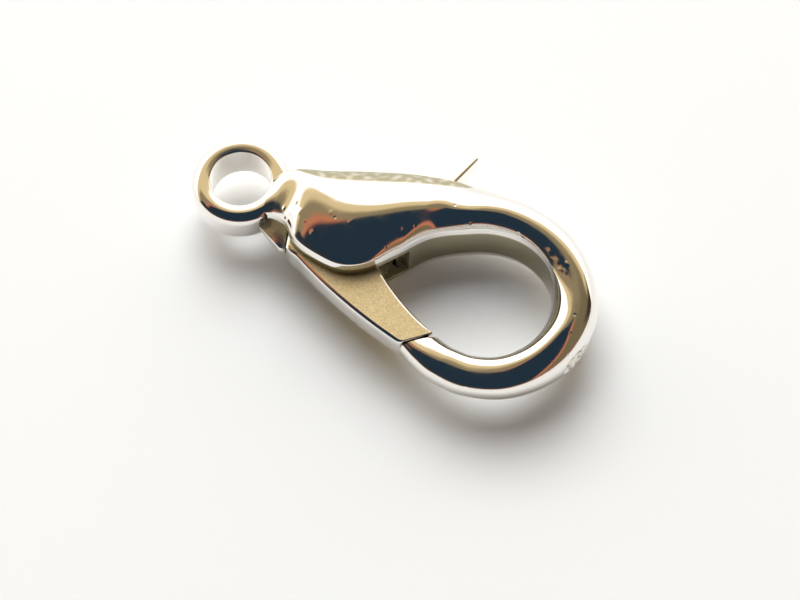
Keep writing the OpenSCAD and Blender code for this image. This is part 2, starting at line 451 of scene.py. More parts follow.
@dataclass(frozen=True)
class BrightPlating:
    """Bright silver-tone plating on a tumbled zinc die casting.

    To the eye it is a warm mirror with fine pits and scuffs, and dull olive where the casting was
    never polished. The flat wall inside the hook is painted a darker olive: painted shade for the shaded
    floor it mirrors.
    """

    colour: str = "#f7f4ef"
    cast_colour: str = "#b9b294"
    # Painted shade: darker olive for the flat wall inside the hook
    hook_wall_shade_colour: str = "#b0a98c"
    roughness: float = 0.07
    cast_roughness: float = 0.42
    pit_spacing_mm: float = 0.45
    pit_depth_mm: float = 0.012
    scuff_mm: float = 0.35
    grain_mm: float = 0.05
    grain_depth_mm: float = 0.03

    def build(self) -> bpy.types.Material:
        """Makes the material.

        The attribute "as_cast" says where the casting is rough; a second attribute marks the flat wall
        inside the hook, which is painted darker as painted shade.

        Returns:
            The material.
        """
        material, tree = new_tree("bright_plating_on_zinc")
        place = add_node(tree, "ShaderNodeTexCoord").outputs["Object"]
        cast, painted_wall_shade = (
            add_node(tree, "ShaderNodeAttribute", {"attribute_name": name}).outputs["Fac"]
            for name in ("as_cast", "painted_wall_shade")
        )
        grain, scuffs = (
            add_node(
                tree, "ShaderNodeTexNoise", {"Scale": 1 / (size * MM), "Detail": detail}, {"Vector": place}
            ).outputs["Fac"]
            for size, detail in ((self.grain_mm, 3.0), (self.scuff_mm, 4.0))
        )
        pits = add_node(
            tree, "ShaderNodeTexVoronoi", {"Scale": 1 / (self.pit_spacing_mm * MM)}, {"Vector": place}
        ).outputs["Distance"]
        pit_height = add_node(
            tree, "ShaderNodeMapRange", {"From Min": 0.04, "From Max": 0.12}, {"Value": pits}
        ).outputs["Result"]
        polished = add_node(
            tree,
            "ShaderNodeMapRange",
            {"From Min": 0.45, "From Max": 0.75, "To Min": self.roughness, "To Max": self.roughness * 2.2},
            {"Value": scuffs},
        ).outputs["Result"]
        roughness = add_node(
            tree,
            "ShaderNodeMix",
            {"data_type": "FLOAT", "B": self.cast_roughness},
            {"Factor": cast, "A": polished},
        ).outputs["Result"]
        # Painted shade: the flat wall inside the hook takes the darker olive colour
        colour = add_node(
            tree,
            "ShaderNodeMix",
            {"data_type": "RGBA", 6: linear(self.colour), 7: linear(self.hook_wall_shade_colour)},
            {"Factor": painted_wall_shade},
        ).outputs[2]
        colour = add_node(
            tree,
            "ShaderNodeMix",
            {"data_type": "RGBA", 7: linear(self.cast_colour)},
            {"Factor": cast, 6: colour},
        ).outputs[2]
        strength = add_node(
            tree, "ShaderNodeMath", {"operation": "MULTIPLY", 1: 0.9}, {0: cast}
        ).outputs["Value"]
        pitted = add_node(
            tree,
            "ShaderNodeBump",
            {"Strength": 0.35, "Distance": self.pit_depth_mm * MM},
            {"Height": pit_height},
        ).outputs["Normal"]
        relief = add_node(
            tree,
            "ShaderNodeBump",
            {"Distance": self.grain_depth_mm * MM},
            {"Height": grain, "Strength": strength, "Normal": pitted},
        ).outputs["Normal"]
        shader = add_node(
            tree,
            "ShaderNodeBsdfPrincipled",
            {"Metallic": 1.0},
            {"Base Color": colour, "Roughness": roughness, "Normal": relief},
        ).outputs["BSDF"]
        add_node(tree, "ShaderNodeOutputMaterial", {}, {"Surface": shader})
        return material


@dataclass(frozen=True)
class FrostedPlating:
    """Silver-tone plating over a flat face that was left frosted by the mould.

    To the eye it is a pale gold matt face full of tiny sparkles. Its gold tint is a painted reflection of the
    warm ceiling, and the sparkles are painted glints over the real frosted grain.
    """

    # Stops of the grain: gold tints that are a painted reflection of the warm ceiling, and a near-white
    # painted glint
    dim_painted_gold: str = "#e2cfa2"
    colour: str = "#fbe3ac"
    painted_glint_colour: str = "#fdf6e4"
    roughness: float = 0.5
    grain_mm: float = 0.045
    grain_depth_mm: float = 0.009

    def build(self) -> bpy.types.Material:
        """Makes the material.

        Its metallic value is below 1 because the frosted face also scatters light as a matt one does.

        Returns:
            The material.
        """
        material, tree = new_tree("frosted_plating_on_zinc")
        place = add_node(tree, "ShaderNodeTexCoord").outputs["Object"]
        grain = add_node(
            tree, "ShaderNodeTexNoise", {"Scale": 1 / (self.grain_mm * MM), "Detail": 5.0}, {"Vector": place}
        ).outputs["Fac"]
        # Painted gold reflection and painted glints, laid out along the grain
        painted_gold_and_glints = add_node(tree, "ShaderNodeValToRGB", {}, {"Fac": grain})
        stops = ((0.3, self.dim_painted_gold), (0.55, self.colour), (0.75, self.painted_glint_colour))
        set_stops(painted_gold_and_glints, [(spot, linear(colour)) for spot, colour in stops])
        relief = add_node(
            tree,
            "ShaderNodeBump",
            {"Strength": 0.35, "Distance": self.grain_depth_mm * MM},
            {"Height": grain},
        ).outputs["Normal"]
        shader = add_node(
            tree,
            "ShaderNodeBsdfPrincipled",
            {"Metallic": 0.65, "Roughness": self.roughness},
            {"Base Color": painted_gold_and_glints.outputs["Color"], "Normal": relief},
        ).outputs["BSDF"]
        add_node(tree, "ShaderNodeOutputMaterial", {}, {"Surface": shader})
        return material


@dataclass(frozen=True)
class DrawnSteel:
    """Cold-drawn steel wire and pin stock: a grey metal with fine lines along the draw."""

    colour: str = "#b4b4b6"
    roughness: float = 0.3
    line_mm: float = 0.03
    line_depth_mm: float = 0.005

    def build(self) -> bpy.types.Material:
        """Makes the material.

        Returns:
            The material.
        """
        material, tree = new_tree("drawn_steel")
        place = add_node(tree, "ShaderNodeTexCoord").outputs["Object"]
        grain = add_node(
            tree, "ShaderNodeTexNoise", {"Scale": 1 / (self.line_mm * MM), "Detail": 2.0}, {"Vector": place}
        ).outputs["Fac"]
        relief = add_node(
            tree, "ShaderNodeBump", {"Strength": 0.3, "Distance": self.line_depth_mm * MM}, {"Height": grain}
        ).outputs["Normal"]
        shader = add_node(
            tree,
            "ShaderNodeBsdfPrincipled",
            {"Metallic": 1.0, "Roughness": self.roughness, "Base Color": linear(self.colour)},
            {"Normal": relief},
        ).outputs["BSDF"]
        add_node(tree, "ShaderNodeOutputMaterial", {}, {"Surface": shader})
        return material


# The clasp


@dataclass(frozen=True)
class Casting:
    """The one casting: ring, neck, cheeks, spine and hook, with the slot for the lever.

    Attributes:
        ring_hole_d: Hole through the ring.
        ring_wall: Wall of the ring.
        ring_t: Height of the ring.
        cheek_t: Thickness over both cheeks.
        rim_t: Height over both rims.
        rim_reach: How far the rims bulge on the gate side.
        spine_reach: How far the spine stands out on the tab side.
        hook_c: Centre of the hook.
        hook_r: Inner radius of the hook where it leaves the cheeks.
        arm_w: Width of the hook's arm beside its tip.
        hook_t: Thickness of the arm where it leaves the cheeks.
        wall_t: Height of the flat wall inside the hook, where it leaves the cheeks.
        lip_h: Height of the steep facet above the flat inner wall.
        lip_w: How far that facet leans outwards.
        draft: How far the inner wall draws back from its middle to the facet.
        pin_d: Diameter of the pin's hole.
        pin_l: Length of the pin's hole.
        steps: Stations drawn for each row.
    """

    ring_hole_d: float = 1.7
    ring_wall: float = 0.52
    ring_t: float = 1.1
    cheek_t: float = 2.7
    rim_t: float = 1.7
    rim_reach: float = 1.63
    spine_reach: float = 2.43
    hook_c: tuple[float, float] = (7.7, -0.72)
    hook_r: float = 1.95
    arm_w: float = 1.0
    hook_t: float = 2.1
    wall_t: float = 1.4
    lip_h: float = 0.19
    lip_w: float = 0.07
    draft: float = 0.02
    pin_d: float = 0.7
    pin_l: float = 2.0
    steps: int = 18

    # Sections of the neck and cheeks, as shares of the sizes: in_x, in_y, out_x, out_y, thick, rim, crest
    CHEEK_ROWS = np.array(
        [
            [0.128, -0.485, 0.122, 0.20, 0.58, 0.50, 0.74],
            [0.169, -0.466, 0.156, 0.33, 0.77, 0.62, 0.72],
            [0.227, -0.560, 0.214, 0.43, 0.88, 0.80, 0.66],
            [0.292, -0.837, 0.279, 0.52, 0.95, 0.97, 0.57],
            [0.383, -0.972, 0.370, 0.65, 0.98, 1.00, 0.48],
            [0.481, -1.000, 0.474, 0.78, 1.00, 1.00, 0.46],
            [0.565, -0.804, 0.591, 0.90, 0.98, 1.00, 0.46],
            [0.643, -0.368, 0.708, 0.98, 0.91, 0.96, 0.42],
            [0.727, 0.150, 0.805, 1.00, 0.82, 0.89, 0.37],
        ]
    )
    # The curves' power for these sections: the neck rises to a clearer ridge than the cheeks
    CHEEK_FLAT = np.array([1.75, 1.75, 1.8, 1.9, 2.0, 2.0, 2.0, 2.0, 2.0])
    # Sections of the hook: in_deg, out_deg, inner, width, thick, wall, crest, flat, crisp
    HOOK_ROWS = np.array(
        [
            [131, 104, 1.01, 1.22, 1.02, 1.00, 0.37, 2.3, 1.0],
            [108, 89, 0.96, 1.20, 0.96, 1.00, 0.36, 2.4, 1.0],
            [84, 72, 0.94, 1.19, 0.90, 1.00, 0.34, 2.4, 1.0],
            [60, 54, 0.92, 1.18, 0.84, 1.00, 0.37, 2.4, 1.0],
            [36, 34, 0.89, 1.20, 0.79, 0.90, 0.42, 2.3, 0.7],
            [12, 12, 0.84, 1.29, 0.77, 0.60, 0.47, 2.2, 0.3],
            [-12, -12, 0.82, 1.24, 0.75, 0.45, 0.49, 2.2, 0.1],
            [-36, -36, 0.82, 1.16, 0.64, 0.30, 0.49, 2.2, 0.0],
            [-60, -60, 0.84, 1.09, 0.52, 0.20, 0.48, 2.5, 0.0],
            [-82, -84, 0.85, 1.06, 0.46, 0.20, 0.48, 2.6, 0.0],
            [-100, -104, 0.86, 1.05, 0.45, 0.20, 0.53, 2.6, 0.0],
            [-110, -117, 0.87, 1.05, 0.44, 0.20, 0.62, 2.5, 0.0],
            [-119, -127, 0.88, 1.07, 0.42, 0.20, 0.72, 2.4, 0.0],
        ]
    )
    # The ring's section, as shares of its wall: edge of the hole, crest, depth of the dish, outer drop
    RING_SECTION = (0.1, 0.48, 0.03, 0.6)

    @property
    def ring_r(self) -> float:
        """Outer radius of the ring."""
        return self.ring_hole_d / 2 + self.ring_wall

    def rows(self) -> Array:
        """Works the tables of sections out as sizes.

        Returns:
            Rows of in_x, in_y, out_x, out_y, half thickness, half wall, crest, flat and crisp.
        """
        cheek_scale = [
            self.hook_c[0],
            self.rim_reach,
            self.hook_c[0],
            self.spine_reach,
            self.cheek_t / 2,
            self.rim_t / 2,
            1,
        ]
        flat_crisp = np.stack([self.CHEEK_FLAT, np.ones(len(self.CHEEK_FLAT))], -1)
        cheeks = np.hstack([self.CHEEK_ROWS * cheek_scale, flat_crisp])
        hook = self.HOOK_ROWS
        inner_r = hook[:, 2] * self.hook_r
        inner = polar(hook[:, 0], inner_r) + self.hook_c
        outer = polar(hook[:, 1], inner_r + hook[:, 3] * self.arm_w) + self.hook_c
        halves = hook[:, 4:] * [self.hook_t / 2, self.wall_t / 2, 1, 1, 1]
        return np.vstack([cheeks, np.hstack([inner, outer, halves])])

    def placement(self, tab_reach: float) -> Placement:
        """Finds the middle of the outline and the lift over the surface.

        Args:
            tab_reach: How far the lever's tab stands out past the spine.

        Returns:
            The placement.
        """
        low_y = self.rows()[:, 3].min()
        far_x = self.hook_c[0] + self.hook_r + self.arm_w
        return Placement(
            (far_x - self.ring_r) / 2, (self.spine_reach + tab_reach + low_y) / 2, self.cheek_t / 2
        )

    def section(self, s: Array, width: Array) -> Array:
        """Sections of the casting as [distance from the inner edge, height].

        With c the crest's distance, h the half thickness and p = 2 / flat, a round section rises
        from the middle plane in the curve x = c (1 - cos(t)^p), z = h sin(t)^p. A crisp one is cut
        off by a nearly flat wall with a steep facet above it, and follows the curve only from the
        facet's top, stretched in height so that it starts there. A station may lie between the two.
        Both fall to the outer edge in a quarter curve, and the lower half is the same mirrored.

        Args:
            s: Stations, [n, 9].
            width: Distance from the inner to the outer edge, [n].

        Returns:
            Points of each section, [n, points, 2].
        """
        width = width[:, None]
        half, wall, crest, flat = (s[:, k, None] for k in (4, 5, 6, 7))
        crisp = np.clip(s[:, 8, None], 0, 1)
        power = 2 / flat
        across = crest * width
        start = np.arccos((1 - self.lip_w / across) ** (flat / 2))
        top = np.sin(start) ** power
        foot = (wall - half * top) / (1 - top)
        up = np.linspace(0, 1, 9)[1:]
        lean = np.linspace(0, 1, 7)[1:-1]
        rise = np.linspace(0, 1, 33)[:-1]
        turn = mix(start, np.pi / 2, rise)
        lip = np.concatenate([self.draft * up**2, mix(self.draft, self.lip_w, lean)])
        x = np.hstack([np.broadcast_to(lip, (len(s), len(lip))), across * (1 - np.cos(turn) ** power)])
        z = np.hstack(
            [(wall - self.lip_h) * up, wall - self.lip_h * (1 - lean), mix(foot, half, np.sin(turn) ** power)]
        )
        # The round section has the same points, spread over its quarter turn
        t = np.radians(np.concatenate([35 * up, mix(35, 55, lean), mix(55, 90, rise)]))
        x = mix(across * (1 - np.cos(t) ** power), x, crisp)
        z = mix(half * np.sin(t) ** power, z, crisp)
        fall = np.radians(90 * np.linspace(0, 1, 41)[:-1])
        x = np.hstack([x, mix(across, width, np.sin(fall) ** power)])
        z = np.hstack([z, half * np.cos(fall) ** power])
        upper = np.stack([x, z], -1)
        lower = upper[:, ::-1] * [1, -1]
        first = np.zeros((len(s), 1, 2))
        tip = np.stack([width, 0 * width], -1)
        return np.concatenate([first, upper, tip, lower], 1)

    def skin(self) -> Array:
        """Carries the sections from the ring to the tip of the hook.

        Returns:
            Loops of points in mm, [loops, points, 3].
        """
        s = smooth_rows(self.rows(), self.steps)
        inner, outer = s[:, 0:2], s[:, 2:4]
        width = np.linalg.norm(outer - inner, axis=1)
        across = (outer - inner) / width[:, None]
        flat = self.section(s, width)
        plan = inner[:, None] + across[:, None] * flat[..., :1]
        return np.concatenate([plan, flat[..., 1:]], -1)

    def ring(self) -> Array:
        """Carries the ring's section round its hole.

        From the hole a small round edge turns through 74 degrees to the rim of a dish, which rises in
        a parabola to the crest, and a quarter oval falls from there to the outside.

        Returns:
            The section at each bearing, in mm, [bearings, points, 3].
        """
        edge, crest, dish, fall_h = (share * self.ring_wall for share in self.RING_SECTION)
        turn = np.radians(np.linspace(0, 74, 8))
        x = edge * (1 - np.cos(turn))
        z = -dish - edge * (np.sin(turn[-1]) - np.sin(turn))
        rise = np.linspace(x[-1], crest, 9)[1:-1]
        fall = np.radians(np.linspace(0, 90, 14))
        x = np.concatenate([x, rise, crest + (self.ring_wall - crest) * np.sin(fall)])
        drop = fall_h * (np.cos(fall) - 1)
        z = np.concatenate([z, -dish * ((crest - rise) / (crest - edge)) ** 2, drop])
        upper = np.stack([self.ring_hole_d / 2 + x, self.ring_t / 2 + z], -1)
        profile = np.vstack([upper, upper[::-1] * [1, -1]])[::-1]
        plan = polar(np.linspace(0, 360, 129)[:-1, None], profile[None, :, 0])
        return np.concatenate([plan, np.broadcast_to(profile[:, 1:], plan.shape[:2] + (1,))], -1)

    def tip(self) -> tuple[Array, Array]:
        """Inner and outer end of the hook's end face."""
        last = self.rows()[-1]
        return last[0:2], last[2:4]


@dataclass(frozen=True)
class TriggerLever:
    """The lever: hub, gate arm and thumb tab, one plate with a small bevel round its faces.

    Attributes:
        casting: The casting that it is fitted to.
        hub_reach: Reach of the hub and the gate's root round the pivot.
        pivot: Centre of the pin.
        thick: Thickness of the plate.
        open_deg: How far it opens.
        leg_deg: Bearing of the leg of the spring from the pivot.
        leg_room_deg: Room for the leg on either side, in the lever's notch.
        tab_x: Place of the tab's root along the clasp, from the pivot.
        tab_reach: How far the tab stands out past the spine.
        tab_w: Width of the tab's root.
        tab_taper: Share of its thickness that the tab loses in each mm.
        gate_inset: How far the gate's inner corner stays behind the tip's inner edge.
        gate_bow: Outward bow of the gate's long edges.
        gate_gap: Gap between the gate's end and the tip of the hook.
        corner_out: Reach of the round at the outer corner of the gate's end.
        corner_in: Reach of the round at its inner corner.
        side_gap: Gap to each cheek.
        swing_gap: Gap round the lever inside the cheeks.
        bevel: Bevel round both faces.
        pin_play: Play of the pin in its hole.
        wire_d: Diameter of the spring's wire.
        turns: Turns of the spring.
    """

    casting: Casting
    hub_reach: float = 1.5
    pivot: tuple[float, float] = (3.0, 0.0)
    thick: float = 0.85
    open_deg: float = 25.0
    leg_deg: float = 140.0
    leg_room_deg: float = 12.0
    tab_x: float = 1.4
    tab_reach: float = 1.06
    tab_w: float = 1.1
    tab_taper: float = 0.32
    gate_inset: float = 0.14
    gate_bow: float = 0.12
    gate_gap: float = 0.06
    corner_out: float = 0.14
    corner_in: float = 0.06
    side_gap: float = 0.06
    swing_gap: float = 0.045
    bevel: float = 0.09
    pin_play: float = 0.03
    wire_d: float = 0.18
    turns: int = 2

    # From the pivot, as shares of hub_reach: the side of the spine and the ring, the corner next to
    # the ring, and the roots of the gate's outer and inner edge
    BACK = np.array(
        [[0.55, 0.90], [-0.16, 0.62], [-0.68, 0.40], [-0.98, 0.10], [-0.95, -0.25], [-0.78, -0.50]]
    )
    HEEL = np.array([-0.66, -0.94])
    GATE_ROOTS = np.array([[-0.42, -1.04], [0.98, -0.60]])
    # Thumb tab, as shares of its width and height over its root
    TAB = np.array(
        [
            [1.00, 0.08],
            [1.22, 0.76],
            [1.24, 0.90],
            [1.13, 0.98],
            [1.00, 1.00],
            [0.88, 0.94],
            [0.71, 0.54],
            [0.39, 0.24],
            [0.00, 0.00],
        ]
    )

    @property
    def slot_t(self) -> float:
        """Height of the slot between the cheeks."""
        return self.thick + 2 * self.side_gap

    @property
    def heel(self) -> Array:
        """Corner of the lever next to the ring."""
        return np.array(self.pivot) + self.HEEL * self.hub_reach

    @property
    def gate_roots(self) -> tuple[Array, Array]:
        """Roots of the gate's outer and inner edge."""
        outer, inner = self.GATE_ROOTS * self.hub_reach
        return np.array(self.pivot) + outer, np.array(self.pivot) + inner

    def gate_end(self) -> tuple[Array, Array]:
        """Places the gate's end a gap away from the end face of the hook's tip.

        Returns:
            Its outer and its inner corner.
        """
        tip_in, tip_out = self.casting.tip()
        way = (tip_in - tip_out) / np.linalg.norm(tip_in - tip_out)
        shift = np.array([-way[1], way[0]]) * self.gate_gap
        return tip_out + shift, tip_in - way * self.gate_inset + shift

    def hub(self, tab_steps: int) -> Array:
        """Outline from the waist round the tab and the back to the gate's root, in mm.

        Args:
            tab_steps: Points drawn for each point of the tab.

        Returns:
            The outline's points, [n, 2].
        """
        c, pivot = self.casting, np.array(self.pivot)
        root_out, _ = self.gate_roots
        tab_root = np.array([pivot[0] + self.tab_x, 0.89 * c.spine_reach])
        tab_h = c.spine_reach + self.tab_reach - tab_root[1]
        return np.vstack(
            [
                pivot + [1.08 * self.hub_reach, 0],
                [tab_root[0] + 0.62 * self.tab_w, 0.45 * c.spine_reach],
                smooth_rows(tab_root + self.TAB * [self.tab_w, tab_h], tab_steps),
                pivot + self.BACK * self.hub_reach,
                self.heel,
                bowed(self.heel, root_out, self.gate_bow / 4, 2),
            ]
        )

    def inner_outline(self) -> Array:
        """Plain outline of the part that swings between the cheeks.

        Returns:
            The outline's points in mm, anticlockwise, [n, 2].
        """
        end_out, end_in = self.gate_end()
        root_out, root_in = self.gate_roots
        outer = bowed(root_out, end_out, self.gate_bow, 5)[:3]
        inner = bowed(end_in, root_in, -self.gate_bow, 5)[1:]
        return np.vstack([outer, inner, self.hub(1)])

    def outline(self) -> Array:
        """Outline of the finished closed lever, with smooth curves and rounded corners.

        Returns:
            The outline's points in mm, anticlockwise, [n, 2].
        """
        end_out, end_in = self.gate_end()
        root_out, root_in = self.gate_roots
        outer = bowed(root_out, end_out, self.gate_bow, 48)
        inner = bowed(end_in, root_in, -self.gate_bow, 48)
        # The edges stop a little before the rounds begin
        outer = outer[outer[:, 0] < end_out[0] - self.corner_out - 0.02]
        inner = inner[inner[:, 0] < end_in[0] - self.corner_in - 0.04]
        corner_out = rounded_corner(outer[-1], end_out, end_in, self.corner_out, 7)
        corner_in = rounded_corner(end_out, end_in, inner[0], self.corner_in, 5)
        return np.vstack([outer, corner_out, corner_in, inner, self.hub(6)])

    def turned(self, points: Array, deg: float) -> Array:
        """Turns points round the pivot.

        Args:
            points: Places in mm, [n, 2].
            deg: Angle, anticlockwise.

        Returns:
            The turned points, [n, 2].
        """
        a = math.radians(deg)
        turn = np.array([[math.cos(a), -math.sin(a)], [math.sin(a), math.cos(a)]])
        return (points - self.pivot) @ turn.T + self.pivot

    def insets(self, outline: Array) -> Array:
        """How far each point of the outline can move inwards for the bevel.

        It is the bevel's width, cut back in small steps where a moved edge would keep too little of
        its length, and evened out along the outline by the mean with both neighbours.

        Args:
            outline: Points in mm, [n, 2].

        Returns:
            The distances in mm, [n, 1].
        """
        rounds, least_edge, cut_back = 40, 0.15, 0.85
        side, length = outward_sides(outline)
        inset = np.full((len(outline), 1), self.bevel)
        for _ in range(rounds):
            moved = outline - side * length * inset
            edge, moved_edge = np.roll(outline, -1, 0) - outline, np.roll(moved, -1, 0) - moved
            tight = (edge * moved_edge).sum(1, keepdims=True) < least_edge * (edge**2).sum(1, keepdims=True)
            tight |= np.roll(tight, 1, 0)
            inset = np.where(tight, inset * cut_back, inset)
            beside = np.roll(inset, 1, 0) + np.roll(inset, -1, 0)
            inset = np.minimum(inset, 0.5 * inset + 0.25 * beside)
        return inset

    def plate(self) -> Array:
        """Carries the outline from the lower face to the upper one.

        The bevel is a quarter circle at each face: inset by 1 - sin(t) of its width, and 1 - cos(t)
        of it below the face.

        Returns:
            Loops of points in mm, [loops, points, 3].
        """
        outline = self.outline()
        side, length = outward_sides(outline)
        half = self.thick / 2
        turn = np.radians(np.linspace(0, 90, 5))
        share = np.concatenate([1 - np.sin(turn), [0, 0], (1 - np.sin(turn))[::-1]])[:, None, None]
        edge = half - self.bevel * (1 - np.cos(turn))
        z = np.concatenate([-edge, [-half / 3, half / 3], edge[::-1]])
        plan = outline - side * length * self.insets(outline) * share
        return np.concatenate([plan, np.broadcast_to(z[:, None, None], plan.shape[:2] + (1,))], -1)


@dataclass
class ClaspBody:
    """The finished casting.

    Attributes:
        casting: Its shape.
        lever: The lever that its slot is made for.
        place: Where the laid-out clasp lies.
        middle_h: Half height of the band round the middle plane that keeps free of marks.
        pit_depth: Depth of a pit, as a share of its radius.
        mark_depth: Depth of the flow mark.
        mark_reach: How far it reaches to either side of its line.
        mark_dull: How far the metal beside that line is dull, in the same way.
        stub_deg: Bearing of the sprue's stub from the centre of the hook.
        stub_span_deg: Half the stub's length along the hook, as an angle.
        stub_half_h: Half its height.
        stub_rise: How far it stands out.
        stub_uneven: How uneven it is.
        strip_rows: First and last section between which the strip on the spine was left rough.
        strip_edge: Distance of the strip from the spine's outer edge.
        strip_w: Its width at the middle, less the width at its ends.
        strip_end_w: Its width at its ends.
        strip_fade: How softly it fades.
        smooth_deg: Edges sharper than this stay crisp.
    """

    casting: Casting
    lever: TriggerLever
    place: Placement
    middle_h: float = 0.1
    pit_depth: float = 0.3
    mark_depth: float = 0.018
    mark_reach: float = 0.08
    mark_dull: float = 0.06
    stub_deg: float = -13.0
    stub_span_deg: float = 10.0
    stub_half_h: float = 0.42
    stub_rise: float = 0.04
    stub_uneven: float = 0.05
    strip_rows: tuple[float, float] = (1.2, 7.8)
    strip_edge: float = 0.2
    strip_w: float = 0.55
    strip_end_w: float = 0.04
    strip_fade: float = 0.1
    smooth_deg: float = 28.0

    # Roughness of the mark, the stub and the slot's walls, as shares of the casting's own
    MARK_ROUGH, STUB_ROUGH, SLOT_ROUGH = 0.3, 0.35, 1.0
    # Unevenness of the mark, the stub and the strip: wavelength, number of waves and seed
    MARK_RIPPLE, STUB_RIPPLE, STRIP_RIPPLE = (0.2, 20, 7), (0.3, 30, 11), (0.3, 24, 3)
    # Pits of the casting: x, y and radius
    PITS = (
        (3.55, -0.50, 0.05),
        (3.89, -1.29, 0.05),
        (4.84, -0.10, 0.06),
        (5.93, 0.78, 0.05),
        (9.29, 0.84, 0.05),
        (2.13, -0.63, 0.07),
        (2.69, -1.09, 0.06),
        (1.78, -0.79, 0.07),
        (2.94, -0.45, 0.05),
        (1.90, -0.40, 0.06),
        (2.35, -0.86, 0.05),
        (1.60, -0.55, 0.05),
    )
    # Mark where the metal flowed together, on top of the hook
    FLOW_MARK = np.array([[8.66, 1.08], [8.78, 0.93], [8.97, 0.87], [9.12, 0.70], [9.31, 0.58]])
    # Corners of the web by the lever's heel, as shares of the hub's reach
    WEB_CORNERS = np.array([[-0.41, 0.13], [-0.15, 0.00], [-0.03, 0.01]])
    # Its sections: height at full size, and how far they slope back
    WEB_SECTIONS = ((-0.50, 0.5), (-0.14, 0.03), (-0.05, 0.0), (0.05, 0.0), (0.14, 0.03), (0.50, 0.5))

    def pocket_solids(self) -> list[bpy.types.Object]:
        """Makes the cutters for the slot.

        They are the lever's outline with its gap, at five steps of its swing, and the mouth.

        Returns:
            The cutters.
        """
        half = self.lever.slot_t / 2
        outline = grown(self.lever.inner_outline(), self.lever.swing_gap)
        swings = [self.lever.turned(outline, deg) for deg in np.linspace(0, 1, 5) * self.lever.open_deg]
        reach = self.lever.hub_reach
        beyond = -reach - 1.2
        heel, (_, root) = self.lever.heel, self.lever.gate_roots
        mouth = np.array(
            [
                [heel[0], -0.2 * reach],
                [heel[0], beyond],
                [root[0], beyond],
                [root[0] - self.lever.swing_gap, root[1]],
                self.lever.pivot,
            ]
        )
        plans = swings + [mouth]
        return [prism_object(f"cut_{i}", plan, -half, half, self.place) for i, plan in enumerate(plans)]

    def neck_web(self) -> bpy.types.Object:
        """Makes the web that carries the ring.

        Between the cheeks it stands out as a narrow edge, and slopes back from there to both rims. Its
        height grows evenly from 0.6 of its sections' at the ring to 0.9 at the heel.

        Returns:
            The web.
        """
        c, heel, reach = self.casting, self.lever.heel, self.lever.hub_reach
        inner = np.array([[heel[0], -0.2 * reach], [c.ring_r - 0.6 * c.ring_wall, -0.2 * reach]])
        on_ring = [polar(-50, c.ring_r - c.ring_wall / 2), polar(-46, c.ring_r - 0.1 * c.ring_wall)]
        outer = np.vstack([on_ring, heel + self.WEB_CORNERS * reach])
        loops = []
        for z, back in self.WEB_SECTIONS:
            plan = np.vstack([inner, outer + np.array([0.25, 1.0]) * back])
            share = np.clip((plan[:, :1] - c.ring_r + 0.4) / (heel[0] - c.ring_r), 0, 1)
            loops.append(np.hstack([plan, z * mix(0.6, 0.9, share)]))
        return tube_object("web", self.place.metres(np.stack(loops)))

    def leg_hole(self) -> bpy.types.Object:
        """Makes the cutter for the hole that holds the leg of the spring.

        Returns:
            The cutter, a round bar from just outside the coil, four times the wire long.
        """
        lv, c = self.lever, self.casting
        coil_r = c.pin_d / 2 + lv.pin_play + lv.wire_d
        rise = -lv.thick / 2 + lv.pin_play + lv.wire_d / 2
        way = np.append(polar(lv.leg_deg, 1), 0)
        side = np.array([-way[1], way[0], 0])
        circle = polar(np.linspace(0, 360, 25)[:-1], lv.wire_d / 2 + lv.pin_play)
        wall = circle[:, :1] * side + circle[:, 1:] * [0, 0, 1] + np.append(lv.pivot, rise)
        ends = np.array([coil_r, coil_r + 4 * lv.wire_d + 2 * lv.pin_play])
        return tube_object("leg_hole", self.place.metres(wall + way * ends[:, None, None]))

    def round_solid(self, name: str, centre: tuple[float, float], r: float, half: float) -> bpy.types.Object:
        """Upright cylinder of radius r from -half to half, in mm."""
        circle = polar(np.linspace(0, 360, 97)[:-1], r) + centre
        return prism_object(name, circle, -half, half, self.place)

    def build(self) -> bpy.types.Object:
        """Makes the casting with its marks, works the slot and holes into it and finds its dull places.

        The cutter of the ring's hole is a little smaller than the hole, so that it only clears the neck
        out of it and leaves the ring's own wall.

        Returns:
            The casting.
        """
        c = self.casting
        obj = tube_object("finished_casting", self.place.metres(c.skin()))
        ring = c.ring()
        rows, columns = ring.shape[:2]
        faces = grid_faces(rows + 1, columns) % (rows * columns)
        ring_obj = new_object("ring", self.place.metres(ring).reshape(-1, 3), faces[:, ::-1])
        web = self.neck_web()
        # The slot's walls come from cutters without this attribute, and so read 0
        for part in (obj, ring_obj, web):
            set_attribute(part, "skin", np.ones(len(part.data.vertices)))
        self.mark_surface(obj)
        work(obj, ring_obj, Join.ADD)
        work(obj, web, Join.ADD)
        work(obj, self.round_solid("hole", (0, 0), c.ring_hole_d / 2 - 0.005, c.cheek_t), Join.CUT)
        for cutter in self.pocket_solids():
            work(obj, cutter, Join.CUT)
        work(obj, self.round_solid("pin_hole", self.lever.pivot, c.pin_d / 2, c.pin_l / 2), Join.CUT)
        work(obj, self.leg_hole(), Join.CUT)
        smooth(obj, self.smooth_deg)
        self.find_rough_and_painted_shade(obj)
        return obj

